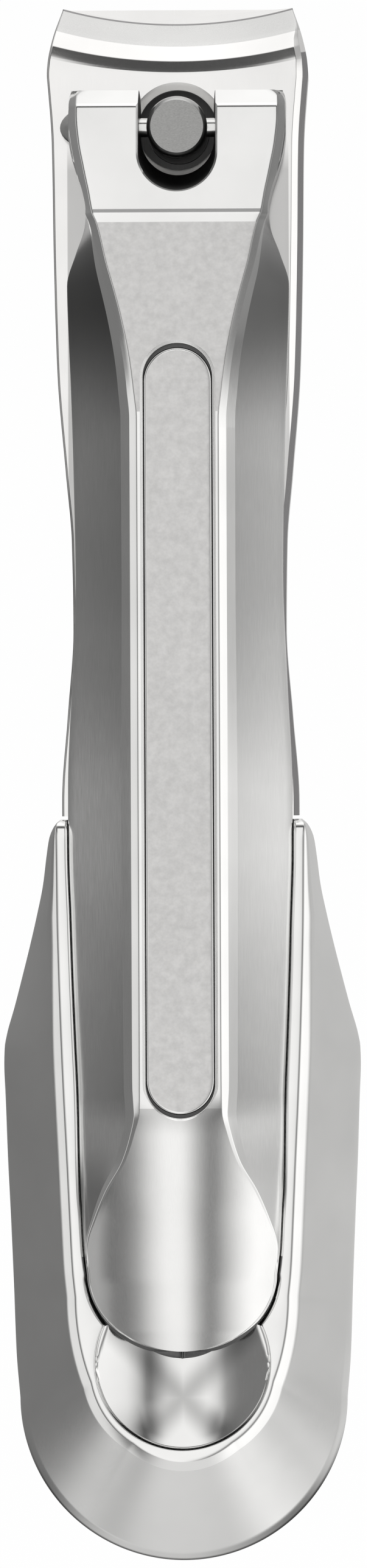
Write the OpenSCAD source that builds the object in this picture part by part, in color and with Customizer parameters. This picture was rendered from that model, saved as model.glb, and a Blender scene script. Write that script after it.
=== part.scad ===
// Lever nail clipper with a slide-off tail casing. It lies flat, jaws towards +Y, lever on top.
// The origin is under the middle of the clipper, on the surface that it lies on.

/* [Overall] */
// Length from the tail to the corners of the cutting edges
clipper_length = 90; // [88:0.5:92]
// Resolution of round shapes
$fn = 96; // [48:8:128]

/* [Blades] */
// Width across the jaws
jaw_width = 15.1; // [14.8:0.1:15.4]
// Width of the cutting edge
edge_width = 13.3; // [12.8:0.1:13.8]
// Plan radius of the concave cutting edge
edge_radius = 25; // [23:1:28]
// Width of the blades behind the jaws
arm_width = 14.4; // [14.2:0.1:14.8]
// Width at the waist
waist_width = 12.3; // [12:0.1:12.6]
// Width where the blades meet the casing
shoulder_width = 13.7; // [13.4:0.1:14]
// Width of the blades inside the casing
tang_width = 10.4; // [10:0.1:10.6]
// Thickness of each blade
blade_t = 1.7; // [1.5:0.1:1.8]
// Gap between the two blades
blade_gap = 3.5; // [3.3:0.1:3.7]
// Opening between the cutting edges at rest
jaw_opening = 1.4; // [1:0.1:1.6]

/* [Post and pins] */
// Diameter of the post
post_d = 3.5; // [3.2:0.1:3.6]
// Diameter of the post's foot
foot_d = 6.4; // [5.8:0.1:7]
// Thickness of the post's foot
foot_t = 0.86; // [0.7:0.02:0.86]
// Distance of the post behind the corners of the cutting edge
post_back = 7.15; // [7:0.05:7.3]
// Diameter of the hole in the upper blade around the post
upper_hole_d = 5; // [4.8:0.1:5.2]
// Diameter of the lever's cross pin
pin_d = 1.1; // [1:0.05:1.2]
// Diameter of the rivets in the tail
rivet_d = 2; // [1.8:0.1:2.2]

/* [Lever] */
// Width of the lever's fork
fork_width = 12.4; // [12.2:0.1:12.6]
// Width of the slot in the fork
slot_width = 4.46; // [4.3:0.02:4.6]
// Width of the raised rib
rib_width = 5.5; // [5.3:0.1:5.7]
// Width of the inlay in the rib
inlay_width = 4.1; // [3.9:0.1:4.3]
// Height of the rib's top
rib_z = 13.2; // [13:0.1:13.4]
// Height of the fulcrum ridge
ridge_z = 14.1; // [13.8:0.1:14.2]

/* [Tail casing] */
// Greatest width of the casing
casing_width = 20.7; // [20.2:0.1:21]
// Height of the rim round the lever
rim_z = 9.6; // [9.5:0.1:10.2]
// Height of the floor that the lever lies on
floor_z = 8.7; // [8.6:0.05:8.8]
// Height of the joint between the cover and the base
split_z = 3.5; // [3.3:0.1:3.7]
// Wall thickness of the casing
wall = 1.2; // [1:0.1:1.3]
// Radius of the finger bowl
bowl_r = 5; // [4.8:0.1:5.1]
// Depth of the finger bowl
bowl_depth = 1.8; // [1.6:0.1:2.4]

/* [Hidden] */

// Fits
slip = 0.03;
gap = 0.1;

// Levels, from the bottom up
front_y = clipper_length / 2;
tail_y = -clipper_length / 2;
lower_z = foot_t + 0.04;
lower_top_z = lower_z + blade_t;
upper_z = lower_top_z + blade_gap;
upper_top_z = upper_z + blade_t;
middle_z = (lower_top_z + upper_z) / 2;

// Blades
edge_sag = edge_radius - sqrt(pow(edge_radius, 2) - pow(edge_width / 2, 2));
edge_y = front_y - edge_sag;
edge_centre_y = edge_y + edge_radius;
edge_rise = middle_z - jaw_opening / 2 - lower_z;
nose_length = 3.3;
shoulder_y = -1.8;
tang_end_y = -28.5;
waist_y = 12;
hinge_y = -24;
rivet_x = 2.3;
rivet_head_d = 3.4;
rivet_head_t = 0.55;
countersink = 0.35;
close_angle = asin(jaw_opening / (front_y - hinge_y));

// Post and pin
post_y = front_y - post_back;
cam_r = 2.25;
pin_z = upper_top_z + cam_r + 0.05;
post_top_z = pin_z + 1.75;
post_chamfer = 0.35;
pin_head_d = 1.8;
pin_head_h = 0.55;

// Lever
lever_front = 2.1;
lever_under_z = upper_top_z + 0.1;
lever_tail_under_z = floor_z + 0.1;
ridge_y = post_y - 4.95;
face_end_y = 25.6;
neck_y = 28.8;
inlay_front_y = 25.1;
inlay_rear_y = -18.9;
inlay_t = 0.5;
inlay_drop = 0.12;
slope_edge_z = 9.3;
lever_tip_y = -32.9;
tip_start_y = -28.5;
tip_z = 9.6;
file_width = 6;
file_t = 0.5;
file_front_y = 28;
file_length = 27;

// Tail casing
casing_front_y = -2;
flare_y = -15.4;
casing_end_r = 9.5;
rim_front_half = 7;
rim_rear_half = 6.2;
rim_rear_y = -29;
rim_end_y = -38.9;
rim_t = 0.35;
widest_z = 3.9;
foot_inset = 1.3;
bowl_y = -33.3;
bowl_sphere_r = (pow(bowl_r, 2) + pow(bowl_depth, 2)) / (2 * bowl_depth);
bowl_t = 0.8;
base_t = 0.7;
mouth_top_z = upper_top_z + 0.15;
screw_d = 1.6;
screw_head_d = 3;
screw_head_t = 0.8;
screw_length = 5;
boss_d = 3.4;
side_screw = [7.6, -18];
rear_screw_y = -41.2;
guard_t = 0.8;
guard_inset = 0.15;
guard_front_y = 40.6;
guard_rear_y = -14;
clip_t = 0.4;
tongue_half = 1.6;
tongue_end_y = -32.6;

// A smooth step from 0 to 1
function ease(t) = (1 - cos(180 * min(1, max(0, t)))) / 2;
function blend(a, b, t) = a + (b - a) * t;

// Half width of the blades at a place along the clipper
function arm_half(y) =
    y > waist_y + 2
        ? blend(waist_width, arm_width, ease((y - waist_y - 2) / 17)) / 2
        : blend(waist_width, shoulder_width, ease((9 - y) / 10)) / 2;

// Half width of the lever at a place along the clipper
function lever_half(y) =
    y > post_y - 1 ? fork_width / 2
    : y > ridge_y ? blend(5.23, fork_width / 2, pow((y - ridge_y) / (post_y - 1 - ridge_y), 0.8))
    : y > neck_y ? blend(6.4, 5.23, ease((y - neck_y) / (ridge_y - neck_y)))
    : y > waist_y ? blend(6, 6.4, ease((y - waist_y) / (neck_y - waist_y)))
    : y > 0 ? blend(6.48, 6, ease(y / waist_y))
    : y > tip_start_y ? blend(6.48, 5.45, pow(y / tip_start_y, 1.3))
    : 5.45 * sqrt(max(0, 1 - pow((y - tip_start_y) / (lever_tip_y - tip_start_y), 2)));

// Half width of the rim's crest
function rim_half(y) =
    y > rim_rear_y
        ? blend(rim_front_half, rim_rear_half,
            pow(max(0, (casing_front_y - y) / (casing_front_y - rim_rear_y)), 1.4))
    : rim_rear_half * sqrt(max(0, 1 - pow((y - rim_rear_y) / (rim_end_y - rim_rear_y), 2)));

// A closed outline from its right half, listed from the front to the rear
function mirrored(half) = concat(
    half,
    [for (i = [len(half) - 1 : -1 : 0]) if (half[i][0] > 0) [-half[i][0], half[i][1]]]
);

function steps(a, b, n) = [for (i = [0 : n]) blend(a, b, i / n)];

module slab(points, z0, z1) {
    translate([0, 0, z0]) linear_extrude(z1 - z0) polygon(points);
}

// ---- Blades ----

module blade_plan_solid(z0, z1) {
    arm_ys = steps(front_y - 10, shoulder_y, 22);
    corner = [
        [edge_width / 2, front_y + 0.2],
        [edge_width / 2, front_y],
        [jaw_width / 2 - 0.3, front_y - 2],
        [jaw_width / 2, front_y - 4],
        [jaw_width / 2 - 0.1, front_y - 5.5],
        [arm_width / 2 + 0.1, front_y - 8]
    ];
    tang = [
        [tang_width / 2, shoulder_y],
        [tang_width / 2, tang_end_y]
    ];
    slab(mirrored(concat(corner, [for (y = arm_ys) [arm_half(y), y]], tang)), z0, z1);
}

// One blade with its outside face at z = 0 and its cutting edge up. The section is swept round
// the centre of the cutting edge, and then cut to the blade's outline.
module blade_blank() {
    bend = [for (a = [0 : 15 : 90]) [nose_length - 1.1 * sin(a), 0.55 - 0.55 * cos(a)]];
    section = concat(
        [[clipper_length, 0]],
        bend,
        [[1.2, edge_rise - 1.2], [0, edge_rise], [0.25, edge_rise], [1.4, edge_rise - 0.5]],
        [[2.9, blade_t], [clipper_length, blade_t]]
    );
    intersection() {
        blade_plan_solid(-1, edge_rise + 1);
        translate([0, edge_centre_y, 0])
            rotate_extrude()
                polygon([for (p = section) [edge_radius + p[0], p[1]]]);
    }
}

module rivet_holes(extra) {
    for (side = [-1, 1]) translate([side * rivet_x, hinge_y, -1])
        cylinder(d = rivet_d + 2 * extra, h = blade_t + 2);
}

module lower_blade() {
    color("lightsteelblue") translate([0, 0, lower_z]) difference() {
        blade_blank();
        translate([0, post_y, -1]) cylinder(d = post_d + 2 * slip, h = blade_t + 2);
        rivet_holes(0);
        for (side = [-1, 1]) translate([side * rivet_x, hinge_y, -1])
            cylinder(d = rivet_head_d, h = rivet_head_t + 1);
    }
}

module upper_blade() {
    color("silver") translate([0, 0, upper_top_z]) mirror([0, 0, 1]) difference() {
        blade_blank();
        translate([0, post_y, -1]) cylinder(d = upper_hole_d, h = blade_t + 2);
        translate([0, post_y, 0])
            cylinder(d1 = upper_hole_d + 2 * countersink, d2 = upper_hole_d, h = countersink);
        rivet_holes(gap);
        for (side = [-1, 1]) translate([side * rivet_x, hinge_y, -1])
            cylinder(d = rivet_head_d + 2 * gap, h = rivet_head_t + gap + 1);
    }
}

module tail_spacer() {
    color("slategray") difference() {
        union() {
            translate([-4.2, tang_end_y, lower_top_z])
                cube([8.4, 8.5, blade_gap - gap]);
            translate([-tongue_half, tongue_end_y, middle_z - 1])
                cube([2 * tongue_half, tang_end_y - tongue_end_y + 1, 2]);
        }
        for (side = [-1, 1]) translate([side * rivet_x, hinge_y, 0])
            cylinder(d = rivet_d, h = 10);
    }
}

module tail_rivet(side) {
    translate([side * rivet_x, hinge_y, 0]) {
        translate([0, 0, lower_z]) cylinder(d = rivet_head_d, h = rivet_head_t);
        translate([0, 0, lower_z]) cylinder(d = rivet_d, h = upper_top_z - lower_z);
        translate([0, 0, upper_top_z - rivet_head_t])
            cylinder(d = rivet_head_d, h = rivet_head_t);
    }
}

module tail_rivet_left() {
    color("gainsboro") tail_rivet(-1);
}

module tail_rivet_right() {
    color("gainsboro") tail_rivet(1);
}

// ---- Post and cross pin ----

module post() {
    color("dimgray") difference() {
        translate([0, post_y, 0]) union() {
            cylinder(d = foot_d, h = foot_t - 0.3);
            translate([0, 0, foot_t - 0.3])
                cylinder(d1 = foot_d, d2 = foot_d - 0.6, h = 0.3);
            cylinder(d = post_d, h = post_top_z - post_chamfer);
            translate([0, 0, post_top_z - post_chamfer])
                cylinder(d1 = post_d, d2 = post_d - 2 * post_chamfer, h = post_chamfer);
        }
        translate([-5, post_y, pin_z]) rotate([0, 90, 0])
            cylinder(d = pin_d + 2 * slip, h = 10);
    }
}

module cross_pin() {
    head_r = (pow(pin_head_d / 2, 2) + pow(pin_head_h, 2)) / (2 * pin_head_h);
    color("gainsboro") translate([0, post_y, pin_z]) rotate([0, 90, 0]) {
        translate([0, 0, -fork_width / 2])
            cylinder(d = pin_d, h = fork_width - 0.1);
        intersection() {
            translate([0, 0, -fork_width / 2 - pin_head_h + head_r]) sphere(r = head_r);
            translate([0, 0, -fork_width / 2 - 1]) cylinder(d = 4, h = 1);
        }
    }
}

// ---- Lever ----

module lever_plan_solid() {
    ys = concat(
        steps(post_y + lever_front - 0.7, ridge_y, 8),
        steps(ridge_y - 0.6, waist_y, 14),
        steps(waist_y - 1.5, tip_start_y, 20),
        [for (a = [10 : 10 : 90]) blend(tip_start_y, lever_tip_y, sin(a))]
    );
    front = [
        [fork_width / 2 - 0.7, post_y + lever_front],
        [fork_width / 2 - 0.2, post_y + lever_front - 0.2]
    ];
    slab(mirrored(concat(front, [for (y = ys) [lever_half(y), y]])), 0, 20);
}

// The lever's side view, across its whole width
module lever_side_solid() {
    nose = [for (a = [-90 : 15 : 15])
        [post_y + lever_front * cos(a), pin_z + (cam_r - 0.05) * sin(a)]];
    side = concat(
        nose,
        [[post_y + 1.15, pin_z + 1.88], [ridge_y + 0.2, ridge_z], [ridge_y - 0.4, ridge_z]],
        [[face_end_y, rib_z], [-19, rib_z], [-24, rib_z - 0.35], [-28.5, rib_z - 1.5]],
        [[-31.5, rib_z - 2.55], [lever_tip_y - 0.1, tip_z + 0.6], [lever_tip_y - 0.1, tip_z]],
        [[-31, tip_z - 0.1], [-28, lever_tail_under_z], [casing_front_y + 0.6, lever_tail_under_z]],
        [[casing_front_y + 1.4, lever_under_z]]
    );
    translate([-10, 0, 0]) rotate([90, 0, 90]) linear_extrude(20) polygon(side);
}

// The sloping flanks, the same all along
module lever_flank_solid() {
    top = rib_z + 0.25;
    reach = 7;
    fall = (reach - rib_width / 2) * (rib_z - slope_edge_z) / (6.2 - rib_width / 2);
    section = [
        [rib_width / 2 - 0.25, top], [reach, rib_z - fall], [reach, 5],
        [-reach, 5], [-reach, rib_z - fall], [-rib_width / 2 + 0.25, top]
    ];
    translate([0, 33, 0]) rotate([90, 0, 0]) linear_extrude(70) polygon(section);
}

// The head, and the trapezoid face that narrows from the ridge to the rib
module lever_head_solid() {
    translate([-8, ridge_y - 0.4, 5]) cube([16, 12, 12]);
    hull() {
        translate([-4.7, ridge_y - 0.5, 8]) cube([9.4, 0.2, 8]);
        translate([-5.3, ridge_y - 0.5, 5]) cube([10.6, 0.2, 5]);
        translate([-rib_width / 2, 23, 8]) cube([rib_width, 0.2, 7]);
    }
}

// The press pad, as wide as the lever
module lever_pad_solid() {
    hull() {
        translate([-rib_width / 2, -20, 8]) cube([rib_width, 0.2, rib_z - 8]);
        translate([-6, -29, 8]) cube([12, 0.2, 3.3]);
        translate([-3, -29, 8]) cube([6, 0.2, rib_z - 9.3]);
        translate([-6, -33.5, 8]) cube([12, 0.2, 2.3]);
    }
}

module stadium(width, y0, y1, z0, z1) {
    for (y = [y0 + width / 2, y1 - width / 2]) translate([0, y, z0])
        cylinder(d = width, h = z1 - z0);
    translate([-width / 2, y0 + width / 2, z0])
        cube([width, y1 - y0 - width, z1 - z0]);
}

module lever() {
    slot_bottom_y = post_y - 1.5;
    color("gray") difference() {
        intersection() {
            lever_plan_solid();
            lever_side_solid();
            union() {
                lever_flank_solid();
                lever_head_solid();
                lever_pad_solid();
            }
        }
        translate([0, slot_bottom_y, 0]) cylinder(d = slot_width, h = 20);
        translate([-slot_width / 2, slot_bottom_y, 0]) cube([slot_width, 10, 20]);
        translate([-10, post_y, pin_z]) rotate([0, 90, 0]) cylinder(d = pin_d, h = 20);
        stadium(inlay_width, inlay_rear_y, inlay_front_y, rib_z - inlay_drop - inlay_t, 15);
        translate([-file_width / 2, file_front_y - file_length, lever_under_z - 1])
            cube([file_width, file_length, file_t + 1]);
    }
}

module lever_inlay() {
    color("darkgray")
        stadium(inlay_width, inlay_rear_y, inlay_front_y, rib_z - inlay_drop - inlay_t,
            rib_z - inlay_drop);
}

module nail_file() {
    color("lightgray")
        translate([-file_width / 2, file_front_y - file_length, lever_under_z])
            cube([file_width, file_length, file_t]);
}

// ---- Tail casing, which slides off to empty the clippings ----

// The widest outline, drawn in by an inset
module casing_outline(inset, z, t) {
    half = casing_width / 2 - inset;
    end_r = casing_end_r - inset;
    end_y = tail_y + casing_end_r;
    points = concat(
        [[rim_front_half - inset * 0.8, casing_front_y - inset * 0.5]],
        [[rim_front_half + 0.6 - inset, casing_front_y - 1.2 - inset * 0.3]],
        [[half - 0.15, flare_y + 0.5], [half, flare_y - 0.7]],
        [for (a = [0 : 7.5 : 82.5]) [end_r * cos(a), end_y - end_r * sin(a)]],
        [[0, end_y - end_r]]
    );
    slab(mirrored(points), z, z + t);
}

// The rim's outline, drawn in by an inset
module rim_outline(inset, z, t, front = casing_front_y) {
    ys = concat(
        steps(front, rim_rear_y, 8),
        [for (a = [10 : 10 : 80]) blend(rim_rear_y, rim_end_y, sin(a))]
    );
    half = [for (y = ys) if (y > rim_end_y + inset + 0.2) [rim_half(y) - inset, y]];
    slab(mirrored(concat(half, [[0, rim_end_y + inset]])), z, z + t);
}

module casing_outer() {
    hull() {
        casing_outline(0, widest_z - 0.4, 0.5);
        casing_outline(foot_inset, 0, 0.1);
        rim_outline(0, rim_z - 0.1, 0.1);
    }
}

module casing_inner() {
    hull() {
        casing_outline(wall, base_t + 1.2, 2);
        casing_outline(wall + foot_inset * 0.7, base_t, 0.1);
        rim_outline(wall + 0.2, mouth_top_z - 0.2, 0.2, casing_front_y - wall);
    }
}

// The way in for the blades and the guards
module casing_mouth() {
    half = tang_width / 2 + gap;
    translate([-half, tang_end_y - 1, base_t]) cube([2 * half, 40, mouth_top_z - base_t]);
    translate([-6.1, guard_rear_y - 0.1, lower_top_z]) cube([12.2, 20, 3]);
}

module screw_places() {
    for (side = [-1, 1]) translate([side * side_screw[0], side_screw[1], 0]) children();
    translate([0, rear_screw_y, 0]) children();
}

module bowl(extra) {
    translate([0, bowl_y, rim_z - 0.15 - bowl_depth + bowl_sphere_r])
        sphere(r = bowl_sphere_r + extra);
}

module tail_cover() {
    color("darkseagreen") difference() {
        intersection() {
            casing_outer();
            translate([-15, tail_y - 1, split_z]) cube([30, 60, 10]);
        }
        difference() {
            casing_inner();
            bowl(bowl_t);
            screw_places() cylinder(d = boss_d, h = 20);
        }
        casing_mouth();
        rim_outline(rim_t, floor_z, 5, 3);
        intersection() {
            bowl(0);
            translate([-15, tail_y, 5]) cube([30, 30, 20]);
        }
        screw_places() cylinder(d = screw_d, h = screw_length);
    }
}

module tail_base() {
    color("cadetblue") difference() {
        intersection() {
            casing_outer();
            translate([-15, tail_y - 1, 0]) cube([30, 60, split_z]);
        }
        difference() {
            casing_inner();
            screw_places() cylinder(d = boss_d, h = 20);
        }
        casing_mouth();
        screw_places() {
            translate([0, 0, -1]) cylinder(d = screw_d + 2 * slip, h = 20);
            translate([0, 0, -1]) cylinder(d = screw_head_d + 2 * slip, h = 1 + screw_head_t);
        }
    }
}

module casing_screw() {
    difference() {
        union() {
            translate([0, 0, 0.1]) cylinder(d = screw_head_d, h = screw_head_t - 0.1);
            cylinder(d = screw_d, h = screw_length - 0.1);
        }
        for (turn = [0, 90]) rotate(turn) translate([-0.9, -0.15, -1]) cube([1.8, 0.3, 1.5]);
    }
}

module casing_screw_left() {
    color("dimgray") translate([-side_screw[0], side_screw[1], 0]) casing_screw();
}

module casing_screw_right() {
    color("dimgray") translate([side_screw[0], side_screw[1], 0]) casing_screw();
}

module casing_screw_rear() {
    color("dimgray") translate([0, rear_screw_y, 0]) casing_screw();
}

// A wall between the blades that keeps the clippings in. Its top clears the closed blade.
module side_guard() {
    ys = steps(guard_front_y, guard_rear_y, 26);
    outer = [for (y = ys) [y > waist_y + 2 ? arm_half(y) - guard_inset
        : waist_width / 2 - guard_inset, y]];
    inner = [for (i = [len(outer) - 1 : -1 : 0]) [outer[i][0] - guard_t, outer[i][1]]];
    drop = (guard_front_y - hinge_y) * tan(close_angle) + gap;
    rear_drop = (guard_rear_y - hinge_y) * tan(close_angle) + gap;
    side = [
        [guard_front_y, lower_top_z + gap], [guard_front_y, upper_z - drop],
        [shoulder_y, upper_z - 0.75], [guard_rear_y, upper_z - 0.75],
        [guard_rear_y, lower_top_z + gap]
    ];
    intersection() {
        slab(concat(outer, inner), 0, 10);
        translate([-10, 0, 0]) rotate([90, 0, 90]) linear_extrude(20) polygon(side);
    }
}

module side_guard_right() {
    color("lightgray") side_guard();
}

module side_guard_left() {
    color("lightgray") mirror([1, 0, 0]) side_guard();
}

// A sprung clip that grips the spacer's tongue and holds the casing on
module catch_clip() {
    inner = tongue_half + slip;
    z0 = middle_z - 0.8;
    color("goldenrod") union() {
        for (side = [-1, 1]) translate([side * (inner + clip_t / 2) - clip_t / 2, -35, z0])
            cube([clip_t, 5.5, 1.6]);
        translate([-inner - clip_t, -35 - clip_t, z0])
            cube([2 * (inner + clip_t), clip_t, 1.6]);
        translate([-0.8, -39.4, z0]) cube([1.6, 4.2, 1.6]);
    }
}

lower_blade();
upper_blade();
tail_spacer();
tail_rivet_left();
tail_rivet_right();
post();
cross_pin();
lever();
lever_inlay();
nail_file();
side_guard_left();
side_guard_right();
tail_cover();
tail_base();
catch_clip();
casing_screw_left();
casing_screw_right();
casing_screw_rear();
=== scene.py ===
import math

import bmesh
import bpy
import numpy as np
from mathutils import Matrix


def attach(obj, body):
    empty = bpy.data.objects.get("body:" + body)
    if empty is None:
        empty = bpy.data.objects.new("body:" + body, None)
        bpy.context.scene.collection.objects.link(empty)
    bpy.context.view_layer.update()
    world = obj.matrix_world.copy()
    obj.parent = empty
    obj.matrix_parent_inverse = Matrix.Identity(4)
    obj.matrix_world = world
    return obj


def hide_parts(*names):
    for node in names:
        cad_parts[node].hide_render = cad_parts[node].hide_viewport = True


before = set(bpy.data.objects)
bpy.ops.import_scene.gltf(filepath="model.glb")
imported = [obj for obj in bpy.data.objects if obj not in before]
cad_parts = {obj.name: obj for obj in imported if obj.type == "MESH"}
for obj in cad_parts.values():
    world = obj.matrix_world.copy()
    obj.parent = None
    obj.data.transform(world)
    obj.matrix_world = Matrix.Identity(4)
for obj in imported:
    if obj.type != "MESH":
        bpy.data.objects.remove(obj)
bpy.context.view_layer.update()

MM = 0.001

# ---------------- small maths


def clamp(v, a=0.0, b=1.0):
    return max(a, min(b, v))


def mix(a, b, t):
    return a + (b - a) * t


def ease(t):
    t = clamp(t)
    return t * t * (3 - 2 * t)


def smooth(stops):
    """A monotone curve through (place, value) stops."""
    stops = sorted(stops)
    xs = np.array([s[0] for s in stops], float)
    ys = np.array([s[1] for s in stops], float)
    h = np.diff(xs)
    d = np.diff(ys) / h
    m = np.zeros(len(xs))
    m[0], m[-1] = d[0], d[-1]
    for i in range(1, len(xs) - 1):
        if d[i - 1] * d[i] > 0:
            w1, w2 = 2 * h[i] + h[i - 1], h[i] + 2 * h[i - 1]
            m[i] = (w1 + w2) / (w1 / d[i - 1] + w2 / d[i])

    def f(x):
        x = clamp(x, xs[0], xs[-1])
        i = int(clamp(np.searchsorted(xs, x) - 1, 0, len(h) - 1))
        t = (x - xs[i]) / h[i]
        return float(
            (1 + 2 * t) * (1 - t) ** 2 * ys[i] + t * (1 - t) ** 2 * h[i] * m[i]
            + t * t * (3 - 2 * t) * ys[i + 1] + t * t * (t - 1) * h[i] * m[i + 1]
        )
    return f


def fillet(points, radii, seg=4):
    """An open polyline with its inner corners rounded, always the same number of points."""
    out = [tuple(points[0])]
    for i in range(1, len(points) - 1):
        p, a, b = (np.array(points[k], float) for k in (i, i - 1, i + 1))
        r = radii[i]
        if r <= 0:
            out.append(tuple(p))
            continue
        la, lb = np.linalg.norm(a - p), np.linalg.norm(b - p)
        if la < 1e-9 or lb < 1e-9:
            out += [tuple(p)] * (seg + 1)
            continue
        ua, ub = (a - p) / la, (b - p) / lb
        half = math.acos(clamp(float(np.dot(ua, ub)), -1, 1)) / 2
        reach = min(r / max(math.tan(half), 1e-6), 0.48 * la, 0.48 * lb)
        s, e = p + ua * reach, p + ub * reach
        for k in range(seg + 1):
            t = k / seg
            out.append(tuple((1 - t) ** 2 * s + 2 * t * (1 - t) * p + t * t * e))
    out.append(tuple(points[-1]))
    return out


def between(a, b, n):
    """n points strictly between a and b."""
    return [tuple(mix(u, v, (k + 1) / (n + 1)) for u, v in zip(a, b)) for k in range(n)]


def at_shares(a, b, shares):
    """Points at given shares of the way from a to b."""
    return [tuple(mix(u, v, t) for u, v in zip(a, b)) for t in shares]


def spread(a, b, n, bunch=0.0):
    """n + 1 places from a to b, closer together at both ends by bunch 0 to 1."""
    out = []
    for i in range(n + 1):
        t = i / n
        out.append(mix(a, b, mix(t, (1 - math.cos(math.pi * t)) / 2, bunch)))
    return out


# ---------------- meshes


def piece(name, verts, faces, mats, index=None, sharp=32.0):
    """A mesh in millimetres, smooth but for edges sharper than an angle."""
    me = bpy.data.meshes.new(name)
    me.from_pydata([(x * MM, y * MM, z * MM) for x, y, z in verts], [], faces)
    me.update()
    ob = bpy.data.objects.new(name, me)
    bpy.context.scene.collection.objects.link(ob)
    for m in mats:
        me.materials.append(m)
    if index is not None:
        me.polygons.foreach_set("material_index", index)
    bm = bmesh.new()
    bm.from_mesh(me)
    bmesh.ops.remove_doubles(bm, verts=bm.verts, dist=1e-7)
    bmesh.ops.dissolve_degenerate(bm, edges=bm.edges, dist=1e-8)
    bmesh.ops.recalc_face_normals(bm, faces=bm.faces)
    bm.to_mesh(me)
    bm.free()
    crisp(ob, sharp)
    return ob


def crisp(ob, angle):
    me = ob.data
    me.polygons.foreach_set("use_smooth", [True] * len(me.polygons))
    me.set_sharp_from_angle(angle=math.radians(angle))
    me.update()


def loft(rings, caps=True):
    """Vertices and faces of closed rings, one after the other."""
    n = len(rings[0])
    verts = [p for r in rings for p in r]
    faces = []
    for i in range(len(rings) - 1):
        for j in range(n):
            k = (j + 1) % n
            faces.append((i * n + j, i * n + k, (i + 1) * n + k, (i + 1) * n + j))
    if caps:
        faces.append(tuple(range(n)))
        faces.append(tuple((len(rings) - 1) * n + j for j in reversed(range(n))))
    return verts, faces


def mirrored(half):
    """A closed ring from its right half, from bottom centre to top centre (x, z)."""
    return list(half) + [(-x, z) for x, z in reversed(half) if x > 1e-9]


def boolean(ob, others, operation="DIFFERENCE"):
    for o in others:
        m = ob.modifiers.new("cut", "BOOLEAN")
        m.operation = operation
        m.solver = "EXACT"
        m.object = o
        m.material_mode = "TRANSFER"
    dg = bpy.context.evaluated_depsgraph_get()
    me = bpy.data.meshes.new_from_object(ob.evaluated_get(dg), depsgraph=dg)
    ob.modifiers.clear()
    old = ob.data
    ob.data = me
    me.name = ob.name
    bpy.data.meshes.remove(old)
    for o in others:
        d = o.data
        bpy.data.objects.remove(o)
        bpy.data.meshes.remove(d)
    return ob


def turned(name, profile, mats, seg=96, at=(0, 0, 0), axis="Z", index=None, sharp=32.0):
    """A turned solid from (radius, height) points, bottom to top."""
    rings = []
    for r, h in profile:
        ring = []
        for k in range(seg):
            a = 2 * math.pi * k / seg
            p = (max(r, 0.0005) * math.cos(a), max(r, 0.0005) * math.sin(a), h)
            if axis == "X":
                p = (p[2], p[0], p[1])
            ring.append(tuple(u + v for u, v in zip(p, at)))
        rings.append(ring)
    v, f = loft(rings)
    idx = None
    if index is not None:
        idx = [index[i] for i in range(len(profile) - 1) for _ in range(seg)] + [index[0], index[-1]]
    return piece(name, v, f, mats, idx, sharp)


def prism(name, outline, levels, mats, sharp=32.0, marks=None):
    """A prism of an (x, y) outline through (offset outwards, z) levels. z may be a function of (x, y)."""
    n = len(outline)
    pts = [np.array(p, float) for p in outline]
    area = sum(pts[i][0] * pts[(i + 1) % n][1] - pts[(i + 1) % n][0] * pts[i][1] for i in range(n))
    turn = 1 if area > 0 else -1
    rings = []
    for off, z in levels:
        ring = []
        for i in range(n):
            a, b = pts[i] - pts[i - 1], pts[(i + 1) % n] - pts[i]
            na = np.array([a[1], -a[0]]) / max(np.linalg.norm(a), 1e-9)
            nb = np.array([b[1], -b[0]]) / max(np.linalg.norm(b), 1e-9)
            m = na + nb
            m = m / max(np.linalg.norm(m), 1e-9)
            m = m / max(float(np.dot(m, na)), 0.4)
            q = pts[i] + m * off * turn
            ring.append((q[0], q[1], z(q[0], q[1]) if callable(z) else z))
        rings.append(ring)
    v, f = loft(rings)
    idx = None
    if marks:
        idx = [m for m in marks for _ in range(n)] + [marks[0], marks[-1]]
    return piece(name, v, f, mats, idx, sharp)


def stadium(half, y0, y1, seg=40):
    """Outline of a long rounded panel."""
    out = [(half * math.cos(a), y1 - half + half * math.sin(a))
           for a in (math.pi * k / seg for k in range(seg + 1))]
    out += [(half * math.cos(a), y0 + half + half * math.sin(a))
            for a in (math.pi + math.pi * k / seg for k in range(seg + 1))]
    return out


def circle(r, at=(0, 0), seg=96):
    return [(at[0] + r * math.cos(2 * math.pi * k / seg), at[1] + r * math.sin(2 * math.pi * k / seg))
            for k in range(seg)]


# ---------------- materials


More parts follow.
